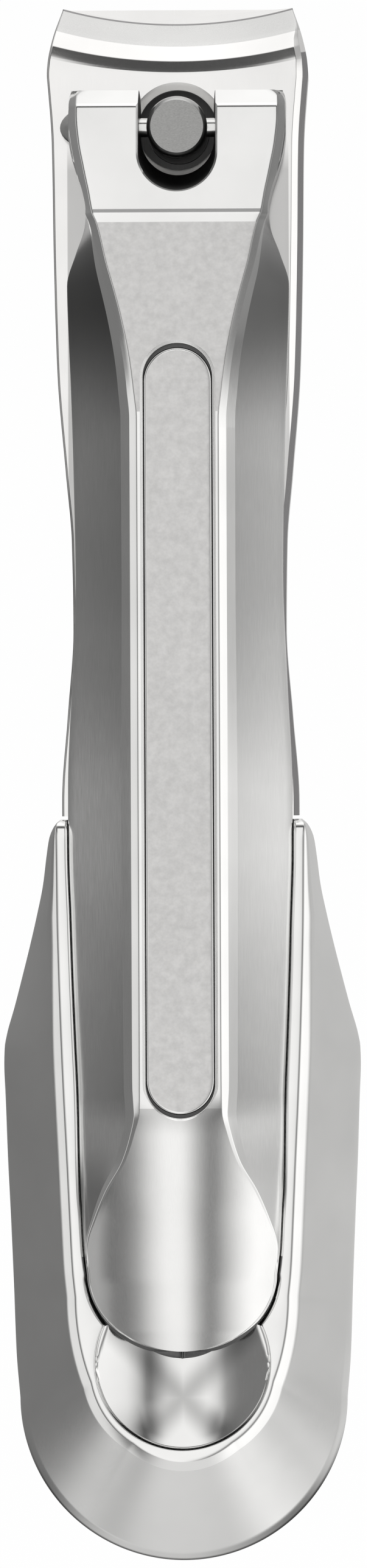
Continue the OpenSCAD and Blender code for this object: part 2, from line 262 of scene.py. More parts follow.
class Net:
    """Short hand for building a node tree."""

    def __init__(self, tree):
        self.t = tree
        self.t.nodes.clear()

    def node(self, kind, **props):
        n = self.t.nodes.new(kind)
        for k, v in props.items():
            setattr(n, k, v)
        return n

    def put(self, socket, value):
        if hasattr(value, "is_output"):
            self.t.links.new(value, socket)
        else:
            socket.default_value = value

    def xyz(self, vec):
        n = self.node("ShaderNodeSeparateXYZ")
        self.put(n.inputs[0], vec)
        return n.outputs

    def math(self, op, a, b=None, c=None, clamped=False):
        n = self.node("ShaderNodeMath", operation=op, use_clamp=clamped)
        for i, v in enumerate((a, b, c)):
            if v is not None:
                self.put(n.inputs[i], v)
        return n.outputs[0]

    def ramp(self, fac, stops, kind="LINEAR"):
        n = self.node("ShaderNodeValToRGB")
        n.color_ramp.interpolation = kind
        el = n.color_ramp.elements
        while len(el) < len(stops):
            el.new(0.5)
        for e, (p, v) in zip(el, stops):
            e.position = p
            e.color = (v, v, v, 1) if isinstance(v, (int, float)) else (*v, 1)
        self.put(n.inputs[0], fac)
        return n.outputs[0]

    def remap(self, v, a, b, c, d, kind="LINEAR"):
        n = self.node("ShaderNodeMapRange", interpolation_type=kind)
        for i, x in enumerate((v, a, b, c, d)):
            self.put(n.inputs[i], x)
        return n.outputs[0]

    def noise(self, vec, scale, detail=2.0, rough=0.5):
        n = self.node("ShaderNodeTexNoise")
        self.put(n.inputs["Vector"], vec)
        n.inputs["Scale"].default_value = scale
        n.inputs["Detail"].default_value = detail
        n.inputs["Roughness"].default_value = rough
        return n.outputs[0]

    def scaled(self, vec, xyz):
        n = self.node("ShaderNodeMapping")
        self.put(n.inputs["Vector"], vec)
        n.inputs["Scale"].default_value = xyz
        return n.outputs[0]


def steel(name, tone=(0.80, 0.80, 0.80), rough=0.2, spread_=0.04, grain=None, grain_depth=0.0,
          speckle=0.0, speckle_scale=9000.0, speckle_depth=0.0, cloud=0.04, mask=None):
    """Steel with a fine finish: grain is the stretch of its brushing, speckle is bead blasting."""
    m = bpy.data.materials.new(name)
    m.use_nodes = True
    net = Net(m.node_tree)
    out = net.node("ShaderNodeOutputMaterial")
    bsdf = net.node("ShaderNodeBsdfPrincipled")
    bsdf.inputs["Metallic"].default_value = 1.0
    net.t.links.new(bsdf.outputs[0], out.inputs["Surface"])
    co = net.node("ShaderNodeTexCoord").outputs["Object"]
    soft = net.noise(co, 160.0, 3.0, 0.55)
    shade = net.remap(soft, 0.3, 0.7, 1 - cloud, 1 + cloud)
    height = None
    if grain:
        lines = net.noise(net.scaled(co, grain), 1.0, 3.0, 0.6)
        shade = net.math("MULTIPLY", shade, net.remap(lines, 0.25, 0.75, 1 - grain_depth, 1 + grain_depth))
        height = lines
        rlines = net.remap(lines, 0.25, 0.75, rough - spread_, rough + spread_)
        net.put(bsdf.inputs["Roughness"], rlines)
    else:
        net.put(bsdf.inputs["Roughness"], net.remap(soft, 0.3, 0.7, rough - spread_, rough + spread_))
    if speckle:
        dots = net.noise(co, speckle_scale, 2.0, 0.7)
        shade = net.math("MULTIPLY", shade, net.remap(dots, 0.3, 0.7, 1 - speckle, 1 + speckle))
        height = dots
    if mask is not None:
        shade = net.math("MULTIPLY", shade, mask(net, co))
    col = net.node("ShaderNodeVectorMath", operation="SCALE")
    col.inputs[0].default_value = tone
    net.put(col.inputs["Scale"], shade)
    net.put(bsdf.inputs["Base Color"], col.outputs[0])
    depth = speckle_depth if speckle else grain_depth * 0.25
    if height is not None and depth:
        b = net.node("ShaderNodeBump")
        b.inputs["Strength"].default_value = depth
        b.inputs["Distance"].default_value = 0.00002
        net.put(b.inputs["Height"], height)
        net.put(bsdf.inputs["Normal"], b.outputs[0])
    return m


ALONG = (26000.0, 900.0, 26000.0)
ACROSS = (900.0, 26000.0, 26000.0)

polished = steel("blade_polished", (0.93, 0.925, 0.92), 0.10, 0.03, ALONG, 0.015)
bevel_edge = steel("blade_ground", (0.80, 0.80, 0.795), 0.34, 0.05, ALONG, 0.10)
inner = steel("inner_steel", (0.60, 0.60, 0.60), 0.30, 0.05, ALONG, 0.05)
pin_metal = steel("pin_metal", (0.86, 0.86, 0.85), 0.14, 0.04, ALONG, 0.03)
post_metal = steel("post_turned", (0.62, 0.62, 0.615), 0.22, 0.05, ALONG, 0.04)
post_ground = steel("post_ground", (0.42, 0.42, 0.415), 0.34, 0.06, (9000.0, 42000.0, 9000.0), 0.25)
# Painted shade: grey steel for the line along the lever's ridge crease.
ridge_painted_shade = steel("ridge_painted_shade", (0.56, 0.56, 0.56), 0.35, 0.05, ALONG, 0.05)
# Painted shade: darker steel on the upper blade's right outer rounding, also used along its cutting edge.
painted_shade_bevel = steel("painted_shade_bevel", (0.34, 0.335, 0.34), 0.30, 0.05, ALONG, 0.06)
# Painted shade: near-black steel where only shade falls, on slot and recess walls, the lever tip's lower edge
# and the blades' inner faces.
painted_shade_steel = steel("painted_shade_steel", (0.16, 0.16, 0.16), 0.40, 0.05, ALONG, 0.15)


def flank_painted_shade_mask(net, co):
    """Painted shade on the flanks: dark in the hollow of the neck, darker by the rib, brightest half way
    down.

    The press pad is painted darker on its left, as painted shade.
    """
    place = net.xyz(co)
    x, y = place[0], place[1]
    up = net.remap(x, -0.001, 0.001, net.remap(y, 0.0345, 0.0315, 0.0, 1.0, "SMOOTHSTEP"),
                   net.remap(y, 0.0400, 0.0390, 0.0, 1.0, "SMOOTHSTEP"))
    down = net.remap(y, 0.0180, 0.0280, 0.0, 1.0, "SMOOTHSTEP")
    neck = net.remap(net.math("MULTIPLY", up, down), 0.0, 1.0, 1.0, 0.22)
    along = net.ramp(net.remap(y, -0.025, 0.035, 0.0, 1.0), [
        (0.0, 1.0), (0.083, 1.0), (0.117, 0.80), (0.233, 0.92), (0.3, 0.97), (0.35, 0.99), (0.41, 0.96),
        (0.527, 0.83), (0.643, 0.74), (0.76, 0.8), (1.0, 0.84)])
    out_ = net.remap(net.math("ABSOLUTE", x), 0.0026, 0.0056, 0.84, 1.06)
    out_ = net.remap(y, -0.0205, -0.0185, 1.0, out_, "SMOOTHSTEP")
    # Painted shade: the press pad's left side is made darker.
    pad_left_painted_shade = net.remap(x, -0.0047, -0.0034, 0.55, 1.0, "SMOOTHSTEP")
    pad_left_painted_shade = net.remap(y, -0.0235, -0.0205, pad_left_painted_shade, 1.0, "SMOOTHSTEP")
    out_ = net.math("MULTIPLY", out_, pad_left_painted_shade)
    return net.math("MULTIPLY", net.math("MULTIPLY", neck, along), out_)


# lever_satin carries the painted shade of the flanks and the press pad through its mask.
lever_satin = steel("lever_satin", (0.95, 0.95, 0.945), 0.19, 0.03, ALONG, 0.03, mask=flank_painted_shade_mask)


# Painted shade: the lever's right-hand edge bevel is made darker towards the head.
def head_edge_painted_shade_mask(net, co):
    place = net.xyz(co)
    return net.remap(place[1], 0.0205, 0.0255, 1.0, 0.36, "SMOOTHSTEP")


lever_right_edge_painted_shade = steel("lever_right_edge_painted_shade", (0.95, 0.95, 0.945), 0.2, 0.04, ALONG, 0.03, mask=head_edge_painted_shade_mask)
lever_polish = steel("lever_edges", (0.95, 0.95, 0.945), 0.13, 0.03, ALONG, 0.015)
blasted = steel("blasted", (0.84, 0.835, 0.83), 0.46, 0.05, speckle=0.075, speckle_scale=2100.0,
                speckle_depth=0.25)
file_metal = steel("file_metal", (0.62, 0.62, 0.61), 0.32, 0.06, ACROSS, 0.08)
guard_metal = steel("guard_metal", (0.76, 0.76, 0.755), 0.24, 0.04, ALONG, 0.03)
casing_satin = steel("casing_satin", (0.87, 0.87, 0.865), 0.19, 0.03, ALONG, 0.012)


def bowl_painted_reflection_mask(net, co):
    """Painted reflection in the finger bowl: darker along two crossing lines."""
    place = net.xyz(co)
    x = place[0]
    y = net.math("ADD", place[1], 0.0354)
    ax, ay = net.math("ABSOLUTE", x), net.math("ABSOLUTE", y)
    off = net.math("SUBTRACT", ax, net.math("MULTIPLY", ay, 0.95))
    crossing_shade = net.remap(net.math("ABSOLUTE", off), 0.0, 0.0017, 0.60, 1.0, "SMOOTHSTEP")
    y0 = net.math("ADD", place[1], 0.0333)
    rho = net.math("SQRT", net.math("ADD", net.math("MULTIPLY", x, x), net.math("MULTIPLY", y0, y0)))
    return net.remap(rho, 0.0044, 0.0049, crossing_shade, 1.0, "SMOOTHSTEP")


# casing_polish carries the painted reflection of the finger bowl through its mask.
casing_polish = steel("casing_polish", (0.95, 0.95, 0.945), 0.13, 0.03, ALONG, 0.01, mask=bowl_painted_reflection_mask)
spring_metal = steel("spring_metal", (0.66, 0.64, 0.60), 0.28, 0.05, ALONG, 0.05)

# ---------------- sizes, mm

TAIL = -45.0
EDGE_R = 25.0
EDGE_CENTRE = 69.1
LOWER_OUT = 0.9
UPPER_OUT = 7.8
BLADE_T = 1.7
JAW_DEPTH = 5.2
GROUND_D = 1.25
FLAT_POINTS = 14
POST_Y = 37.85
PIN_Z = 10.1
RIB_Z = 13.2
RIDGE_Z = 14.1
RIDGE_Y = 32.7
FLOOR_Z = 8.7
RIM_Z = 9.6
SPLIT_Z = 3.5
BOWL_Y = -33.3
BOWL_R = 5.0
BOWL_LOW = -35.2
BOWL_FLOOR = 7.7
RIVET_X = 2.3
RIVET_Y = -24
TANG_HALF = 5.2
TANG_END = -28.5

blade_half = smooth([(45, 6.65), (43, 7.25), (41.7, 7.5), (41, 7.55), (39.5, 7.42), (37, 7.28),
                     (31, 7.2), (24, 7.02), (18, 6.55), (14, 6.22), (9, 6.15), (4, 6.5), (-1, 6.85),
                     (-1.8, 6.85)])

# ---------------- blades


def blade(name, out_z, up, hole_r, sink, rivet_r, rivet_drop, mats):
    """One blade, outside face at out_z. up is +1 if that face is on top."""
    rise = 2.75
    outside = fillet([(0.0, rise - 0.08), (GROUND_D, rise - 1.42), (2.25, rise - 2.28), (3.25, 0.0),
                      (JAW_DEPTH, 0.0)],
                     [0, 0.12, 0.55, 2.6, 0], 6)
    inside = fillet([(0.0, rise), (0.22, rise), (1.4, rise - 0.5), (2.9, BLADE_T), (JAW_DEPTH, BLADE_T)],
                    [0, 0.02, 0.4, 0.8, 0], 6)
    out_d = [p[0] for p in outside]
    in_d = [p[0] for p in inside]

    def line_y(d, x, k):
        """Station d behind the edge: an arc near the jaw, straight further back."""
        arc = EDGE_CENTRE - math.sqrt((EDGE_R + d) ** 2 - x * x)
        flat = EDGE_CENTRE - EDGE_R - d
        return mix(arc, flat, k)

    ds = sorted(set([round(d, 4) for d in out_d[:-1] + in_d[:-1]] + [0.1]))
    ds = [d for i, d in enumerate(ds) if i == 0 or d - ds[i - 1] > 0.012]
    extra = []
    for a, b in zip(ds, ds[1:]):
        if b - a > 0.25:
            n = int((b - a) / 0.16)
            extra += [mix(a, b, (k + 1) / (n + 1)) for k in range(n)]
    ds = sorted(ds + extra)
    tang_d = EDGE_CENTRE - EDGE_R - TANG_END
    back = [5.2 + (tang_d - 5.2) * (i / 150) for i in range(1, 151)]
    shoulder_d = EDGE_CENTRE - EDGE_R + 1.8
    back = [d for d in back if abs(d - shoulder_d) > 0.25] + [shoulder_d - 0.005, shoulder_d + 0.005]
    ds = ds + sorted(back)
    rings, marks = [], []
    for d in ds:
        zo = float(np.interp(d, out_d, [p[1] for p in outside]))
        zi = float(np.interp(d, in_d, [p[1] for p in inside]))
        k = ease((d - 1.3) / 6.0)
        half = blade_half(EDGE_CENTRE - EDGE_R - d + 0.9 * (1 - k)) if d < shoulder_d else TANG_HALF
        if d < 0.001:
            half = 6.65
        thick = zi - zo
        r_out = min(0.8 * ease((d - 0.6) / 2.2) + 0.1, thick * 0.45) if d < shoulder_d else 0.15
        r_in = min(0.15, thick * 0.3)
        fine = min(r_out, 0.13)
        sides = []
        for corner in ([(half, zo + 0.95 * r_out), (half - 0.42 * r_out, zo + 0.34 * r_out),
                        (half - 0.9 * r_out, zo)],
                       [(half, zo + 0.9 * fine), (half - 0.5 * fine, zo + 0.3 * fine), (half - fine, zo)]):
            pts = fillet([(0, zi), (half, zi)] + corner + [(0, zo)], [0, r_in, 0.06, 0.1, 0.1, 0], 5)
            # The two flats get inner points, for the sweep and for the booleans
            pts = ([pts[0]] + between(pts[0], pts[1], FLAT_POINTS) + pts[1:-1]
                   + between(pts[-2], pts[-1], FLAT_POINTS) + [pts[-1]])
            sides.append(pts)
        ring = []
        for x, z in sides[0] + [(-x, z) for x, z in reversed(sides[1]) if x > 1e-9]:
            # shoulder stations stay straight
            ring.append((x, line_y(d, min(abs(x), 8.0), k), out_z - z if up > 0 else out_z + z))
        rings.append(ring)
        marks.append(1 if d < GROUND_D else 0)
    v, f = loft(rings)
    n = len(rings[0])
    idx = [0] * len(f)
    mid = n // 2
    d_line = [2.6 < d < shoulder_d for d in ds]
    # Painted shade: darker steel on the upper blade's right outer rounding and along its cutting edge,
    # near-black steel on the blades' inner faces.
    for i in range(len(rings) - 1):
        for j in range(n):
            if up > 0 and ds[i] < 0.09 and abs(j - mid) < 30:
                idx[i * n + j] = 3
            elif marks[i] and abs(j - mid) < 30:
                idx[i * n + j] = 1
            elif 22 <= j < 29 and d_line[i] and up > 0:
                idx[i * n + j] = 3
            elif min(j, n - 1 - j) < FLAT_POINTS and ds[i] > 2.0:
                idx[i * n + j] = 2
    ob = piece(name, v, f, mats, idx, 30)
    s = 1 if up > 0 else -1
    top = out_z + s * 1.0
    levels = [(0, out_z - s * 3.0), (0, out_z - s * sink)]
    levels += [(sink + 1.0, top)]
    if s < 0:
        levels = list(reversed(levels))
    cutters = [prism(name + "_hole", circle(hole_r, (0, POST_Y)), levels, [mats[0]])]
    for side in (-1, 1):
        cutters.append(prism(name + "_rivet", circle(rivet_r[0], (side * RIVET_X, RIVET_Y), 48),
                             [(0, min(out_z, out_z - s * 3)), (0, max(out_z, out_z - s * 3) + 0.5)]
                             if s > 0 else [(0, out_z - 0.5), (0, out_z + 3)], [mats[0]]))
        z0, z1 = sorted((out_z - s * rivet_drop, out_z + s * 0.5))
        cutters.append(prism(name + "_seat", circle(rivet_r[1], (side * RIVET_X, RIVET_Y), 48),
                             [(0, z0), (0, z1)], [mats[0]]))
    boolean(ob, cutters)
    crisp(ob, 30)
    return ob


def lever_painted_shade_mask(net, co):
    """Painted shade on the flat behind the fork, where the lever shades it."""
    place = net.xyz(co)
    x = net.math("ABSOLUTE", place[0])
    inside = net.remap(x, 0.00636, 0.00642, 1.0, 0.0)
    back = net.remap(place[1], 0.0372, 0.0355, 0.0, 1.0)
    lever_shade_amount = net.math("MULTIPLY", inside, back)
    return net.remap(lever_shade_amount, 0.0, 1.0, 1.0, 0.62)


# blade_flat carries painted shade behind the fork through its mask.
blade_flat = steel("blade_flat", (0.93, 0.925, 0.92), 0.10, 0.03, ALONG, 0.015, mask=lever_painted_shade_mask)

upper = blade("upper_blade_look", UPPER_OUT, 1, 2.3, 0.45, (1.1, 1.8), 0.65,
              [blade_flat, bevel_edge, painted_shade_steel, painted_shade_bevel])
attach(upper, "upper_arm")
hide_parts("upper_blade")

lower = blade("lower_blade_look", LOWER_OUT, -1, 1.78, 0.05, (1.0, 1.7), 0.55,
              [polished, bevel_edge, painted_shade_steel, painted_shade_bevel])
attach(lower, "frame")
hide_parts("lower_blade")

# ---------------- lever

lever_base = smooth([(37.2, 6.24), (36.4, 6.12), (35.2, 5.8), (34.0, 5.42), (33.0, 5.25), (32.2, 5.32),
                     (30.6, 5.88), (28.8, 6.4), (26, 6.33), (23.5, 6.23), (18, 6.07), (12, 5.98),
                     (6, 6.2), (-0.4, 6.47), (-4, 6.46), (-7.5, 6.35), (-11, 6.25), (-14.5, 6.12),
                     (-18, 5.98), (-23.3, 5.88), (-25, 5.76), (-26.8, 5.65), (-28.25, 5.48)])
KAPPA = smooth([(40, 0.0), (-17.4, 0.0), (-18.4, 0.036), (-19.4, 0.072), (-24, 0.074), (-28, 0.072),
                (-33, 0.072)])
face_half = smooth([(40, 5.8), (38.6, 5.82), (37, 5.68), (35.5, 5.4), (34, 5.1), (33.2, 4.95),
                    (32.7, 4.8), (32.3, 4.62), (29.8, 4.0), (28.4, 3.6), (26.7, 3.17), (24.6, 2.76),
                    (22.6, 2.5), (21, 2.34), (-17, 2.34), (-18.8, 2.38), (-20, 2.66), (-21.6, 3.2),
                    (-23.35, 4.22), (-25.1, 4.98), (-26.2, 5.36), (-27.3, 5.48), (-28.3, 5.45)])
bevel_w = smooth([(40, 0.42), (33.5, 0.4), (32.5, 0.42), (24, 0.4), (21, 0.44), (-17, 0.44), (-20, 0.22),
                  (-26, 0.12), (-28, 0.05)])
bevel_h = smooth([(40, 0.8), (34.5, 0.85), (32.5, 0.5), (24, 0.36), (21, 0.34), (-17, 0.34), (-20, 0.12),
                  (-28, 0.05)])
wall_top = smooth([(40, 11.2), (36, 12.2), (34, 12.3), (32.5, 11.2), (30.5, 9.6), (28.8, 9.35),
                   (-22, 9.35), (-27, 9.7), (-30, 9.85), (-32.9, 9.9)])
TIP_Y = -32.64
SHEAR_Y = -33.05
TIP_START = -28.25

PLATE_FRONT = 12.0
top_line = fillet([(39.98, 10.95), (39.05, PLATE_FRONT), (RIDGE_Y, RIDGE_Z + 0.12), (25.6, RIB_Z),
                   (-18.8, RIB_Z), (-24, 12.85), (-28.5, 11.75), (-31.5, 10.75), (-32.9, 10.18)],
                  [0, 0.28, 0.42, 3.0, 6.0, 8.0, 8.0, 3.0, 0], 10)
TOP_Y = [p[0] for p in reversed(top_line)]
TOP_Z = [p[1] for p in reversed(top_line)]
UNDER_STEP = (-0.6, -1.4)


def lever_top(y):
    return float(np.interp(y, TOP_Y, TOP_Z))


def lever_under(y):
    if y > POST_Y:
        return PIN_Z - 2.2 * math.sqrt(max(0.0, 1 - ((y - POST_Y) / 2.12) ** 2))
    base = mix(7.9, 8.8, ease((UNDER_STEP[0] - y) / (UNDER_STEP[0] - UNDER_STEP[1])))
    if y < -28:
        base = mix(8.8, 9.6, ease((-28 - y) / 4.4))
    return base


def lever_width(y):
    if y > 39.2:
        return 6.24 - 0.8 + 0.8 * math.sqrt(max(0.0, 1 - ((y - 39.2) / 0.8) ** 2))
    if y < TIP_START:
        return 5.48 * math.sqrt(max(0.0, 1 - ((TIP_START - y) / (TIP_START - TIP_Y)) ** 2))
    return lever_base(y)


def shear_width(y):
    """Half width of the lower edge: the tip's sheared edge leans out."""
    if y < TIP_START:
        return 5.48 * math.sqrt(max(0.0, 1 - ((TIP_START - y) / (TIP_START - SHEAR_Y)) ** 2))
    return lever_base(y)


def lever_section(y):
    hw = max(lever_width(y), 0.06)
    zb, zt = lever_under(y), lever_top(y)
    zb = min(zb, zt - 0.25)
    bw, bh = bevel_w(y), bevel_h(y)
    fh = min(face_half(y), hw * 0.965 - bw * 0.2)
    if y < -26:
        fh = mix(fh, hw - 0.06 - 0.02 * hw, ease((-26 - y) / 1.8))
    fh = max(fh, 0.02)
    drop = KAPPA(y) * fh * fh
    zt_edge = zt - drop
    zs = clamp(wall_top(y), zb + 0.12, zt_edge - bh - 0.05)
    if y > 38.6:
        zs = mix(zs, mix(zb, zt, 0.5), ease((y - 38.6) / 1.2))
        bh = min(bh, 0.35 * (zt - zb))
    outer = max(min(fh + bw, hw - 0.02), fh + 0.01)
    z_outer = zt_edge - bh
    if z_outer < zs + 0.03:
        zs = z_outer - 0.03
    rb = min(0.28, (zs - zb) * 0.45)
    hb = max(hw, shear_width(y)) + 0.02
    pts = [(0, zb), (hb, zb), (hw, zs), (outer, z_outer), (fh, zt_edge)]
    radii = [0, rb, 0.3, 0.2, 0.2]
    crown_pts = []
    for t in (0.93, 0.86, 0.78, 0.7, 0.62, 0.54, 0.46, 0.38, 0.3, 0.22, 0.14, 0.07):
        crown_pts.append((fh * t, zt - drop * t * t))
    pts2 = fillet(pts + [crown_pts[0]], radii + [0], 5)
    # points along the wall, the flank and the underside
    flat = [pts2[0]] + between(pts2[0], pts2[1], 5)
    rb_arc = pts2[1:7]
    sh_arc = pts2[7:13]
    be_arc = pts2[13:19]
    fa_arc = pts2[19:25]
    out = flat + rb_arc + between(rb_arc[-1], sh_arc[0], 2) + sh_arc
    out += between(sh_arc[-1], be_arc[0], 12) + be_arc + between(be_arc[-1], fa_arc[0], 1) + fa_arc
    face_start = len(out) - 3
    out += crown_pts + [(0, zt)]
    return out, face_start


ys = spread(39.97, 38.4, 26, 1.0)[:-1] + spread(38.4, 33.4, 22)[:-1] + spread(33.4, 32.0, 28)[:-1]
ys += spread(32.0, 20.5, 50)[:-1] + spread(20.5, 0, 30)[:-1] + spread(0, -2, 10)[:-1]
ys += spread(-2, -17.5, 26)[:-1] + spread(-17.5, -28.25, 50)[:-1]
ys += [mix(-28.25, TIP_Y + 0.004, math.sin(math.pi / 2 * k / 46)) for k in range(47)]
ys += spread(TIP_Y - 0.005, SHEAR_Y + 0.003, 12)
sections = [lever_section(y) for y in ys]
start = sections[0][1]
rings = [[(x, y, z) for x, z in mirrored(s[0])] for y, s in zip(ys, sections)]
v, f = loft(rings)
n = len(rings[0])
top_i = len(sections[0][0]) - 1
idx = [0] * len(f)
for i in range(len(rings) - 1):
    yc = (ys[i] + ys[i + 1]) / 2
    for j in range(n):
        dist = abs(j + 0.5 - top_i)
        on_face = dist < top_i - start
        edge = not on_face and dist < top_i - start + 12
        low = min(j, n - 1 - j)
        # Painted shadow: the tip's lower edge takes the near-black steel, as the shadow line over the bowl.
        if yc < -27.2 and 5 <= low < 14 or yc < TIP_Y + 0.01 and low >= 5:
            idx[i * n + j] = 4
            continue
        # Painted shade: the right-hand edge bevel from the neck to the head takes the darkened steel.
        if edge and 20.2 < yc and j < top_i:
            idx[i * n + j] = 5
            continue
        # Painted shade: a grey line along the ridge crease.
        if on_face and 32.82 < yc < 33.0:
            idx[i * n + j] = 3
        elif on_face and 21.5 < yc < 32.25:
            idx[i * n + j] = 1
        elif on_face and yc >= 32.2 or edge or on_face and yc > -18.6:
            idx[i * n + j] = 2
lever = piece("lever_look", v, f,
              [lever_satin, blasted, lever_polish, ridge_painted_shade, painted_shade_steel, lever_right_edge_painted_shade], idx, 34)

SLOT_HALF = 2.23
SLOT_Y = 36.35


def slot_cutter():
    """The fork's slot: its end wall leans back from bottom to top, and its top edge is broken."""
    rings_ = []
    for half, back_y, z in ((2.1, 0.95, 5.0), (2.1, 0.95, 8.2), (2.18, 0.5, 10.0), (SLOT_HALF, 0.0, -0.12),
                            (SLOT_HALF + 0.13, 0.0, 0.02), (SLOT_HALF + 1.0, 0.0, 0.9)):
        out_ = [(half * math.cos(t), SLOT_Y + back_y + half * math.sin(t))
                for t in (math.pi + math.pi * k / 60 for k in range(61))]
        out_ += [(half, 42.0), (-half, 42.0)]
        rings_.append([(x, y, z if z > 3 else plate(z)(x, y)) for x, y in out_])
    v_, f_ = loft(rings_)
    # The slot walls take the near-black steel: painted shade.
    return piece("slot_cut", v_, f_, [painted_shade_steel, lever_polish], [0] * (3 * 63) + [1] * (2 * 63) + [0, 0])


plate_rise = (RIDGE_Z + 0.12 - PLATE_FRONT) / (39.05 - RIDGE_Y)


def plate(lift):
    return lambda x, y: PLATE_FRONT + plate_rise * (39.05 - y) + lift


boolean(lever, [
    slot_cutter(),
    # The recess walls take the near-black steel: painted shade in the gap round the inlay.
    prism("recess_cut", stadium(2.0, -19.15, 25.36),
          [(0, 12.5), (0, RIB_Z - 0.17), (0.19, RIB_Z + 0.02), (1.0, RIB_Z + 0.9)],
          [painted_shade_steel, lever_polish], marks=(0, 1, 1)),
    turned("pin_cut", [(0.56, -9), (0.56, 9)], [lever_satin], 48, (0, POST_Y, PIN_Z), "X"),
    prism("file_cut", [(-3.05, 0.95), (3.05, 0.95), (3.05, 28.05), (-3.05, 28.05)],
          [(0, 6), (0, 8.42)], [lever_satin]),
])
crisp(lever, 34)
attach(lever, "lever")
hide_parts("lever")

# Inlay: a blasted panel with a fine bevel, a little below the rib
panel = prism("inlay_look", stadium(1.97, -18.93, 25.1),
              [(-0.06, 12.6), (0, 12.66), (0, 12.96), (-0.07, 13.05), (-0.16, 13.08), (-0.3, 13.08)],
              [lever_polish, blasted], 40, marks=(0, 0, 0, 0, 1))
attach(panel, "lever")
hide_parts("lever_inlay")

# Nail file: a plate with crossing cut teeth on its lower face
def file_plate():
    x0, x1, y0, y1, z0, z1 = -3.0, 3.0, 1.0, 28.0, 7.9, 8.4
    nx, ny = 48, 216
    verts, faces = [], []
    for j in range(ny + 1):
        for i in range(nx + 1):
            x, y = mix(x0, x1, i / nx), mix(y0, y1, j / ny)
            edge = min(x - x0, x1 - x, y - y0, y1 - y)
            cut = 0.05 * (abs(((x + y) * 1.6) % 1 - 0.5) + abs(((x - y) * 1.6) % 1 - 0.5))
            verts.append((x, y, z0 + (cut if edge > 0.35 else 0.0) + (0.04 if edge < 0.01 else 0)))
    base = len(verts)
    for j in range(ny + 1):
        for i in range(nx + 1):
            verts.append((mix(x0, x1, i / nx), mix(y0, y1, j / ny), z1))
    w = nx + 1
    for j in range(ny):
        for i in range(nx):
            a = j * w + i
            faces.append((a, a + w, a + w + 1, a + 1))
            faces.append((base + a, base + a + 1, base + a + w + 1, base + a + w))
    for j in range(ny):
        for i in (0, nx):
            a = j * w + i
            q = (a, base + a, base + a + w, a + w)
            faces.append(q if i == 0 else q[::-1])
    for i in range(nx):
        for j in (0, ny):
            a = j * w + i
            q = (a, a + 1, base + a + 1, base + a)
            faces.append(q if j == 0 else q[::-1])
    return piece("nail_file_look", verts, faces, [file_metal], None, 25)


nail_file = file_plate()
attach(nail_file, "lever")
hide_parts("nail_file")

# ---------------- post, pin, rivets, screws

post_profile = [(3.0, 0.0), (3.14, 0.03), (3.2, 0.12), (3.2, 0.6), (3.12, 0.76), (2.95, 0.86), (1.75, 0.86),
                (1.75, 6.0), (1.75, 9.0), (1.75, 11.4), (1.73, 11.52), (1.67, 11.68), (1.58, 11.79),
                (1.52, 11.85), (1.0, 11.85), (0.5, 11.85), (0.01, 11.85)]
post_marks = [0] * 13 + [1, 1, 1]
post = turned("post_look", post_profile, [post_metal, post_ground], 96, (0, POST_Y, 0), "Z", post_marks, 28)
boolean(post, [turned("post_eye", [(0.58, -5), (0.58, 5)], [post_metal], 40, (0, POST_Y, PIN_Z), "X")])
crisp(post, 28)
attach(post, "post")
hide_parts("post")

pin_profile = [(0.01, -6.75), (0.22, -6.72), (0.45, -6.62), (0.66, -6.46), (0.82, -6.3), (0.9, -6.22),
               (0.9, -6.2), (0.55, -6.2), (0.55, -4), (0.55, 0), (0.55, 4), (0.55, 6.0), (0.47, 6.1),
               (0.01, 6.1)]
pin = turned("cross_pin_look", pin_profile, [pin_metal], 64, (0, POST_Y, PIN_Z), "X", None, 30)
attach(pin, "lever")
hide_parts("cross_pin")

for side, word in ((-1, "left"), (1, "right")):
    prof = [(1.55, 0.9), (1.66, 0.93), (1.7, 1.0), (1.7, 1.38), (1.62, 1.45), (1.0, 1.45), (1.0, 7.25),
            (1.62, 7.25), (1.7, 7.32), (1.7, 7.7), (1.66, 7.77), (1.55, 7.8), (0.8, 7.8), (0.01, 7.8)]
    rivet = turned("tail_rivet_%s_look" % word, [(0.01, 0.9)] + prof, [pin_metal], 48,
                   (side * RIVET_X, RIVET_Y, 0), "Z", None, 30)
    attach(rivet, "frame")
    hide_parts("tail_rivet_" + word)


def cross_screw(name, x, y):
    prof = [(0.01, 0.1), (1.1, 0.1), (1.4, 0.14), (1.5, 0.26), (1.5, 0.72), (1.44, 0.8), (0.8, 0.8)]
    turns, step = 11, 0.36
    for k in range(turns):
        z = 0.9 + k * step
        prof += [(0.66, z), (0.79, z + step * 0.4), (0.79, z + step * 0.55), (0.66, z + step * 0.92)]
    prof += [(0.5, 4.88), (0.01, 4.9)]
    ob = turned(name, prof, [inner], 48, (x, y, 0), "Z", None, 30)
    cuts = []
    for a in (0, 90):
        w, l = (0.15, 0.9) if a == 0 else (0.9, 0.15)
        corners = [(x - w, y - l), (x + w, y - l), (x + w, y + l), (x - w, y + l)]
        cuts.append(prism(name + "_slot%d" % a, corners, [(0, -1), (0, 0.3), (-0.1, 0.5)], [inner]))
    boolean(ob, cuts)
    crisp(ob, 30)
    return ob


for word, x, y in (("left", -7.6, -18.0), ("right", 7.6, -18.0), ("rear", 0.0, -41.2)):
    screw = cross_screw("casing_screw_%s_look" % word, x, y)
    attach(screw, "casing")
    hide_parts("casing_screw_" + word)

# ---------------- side guards

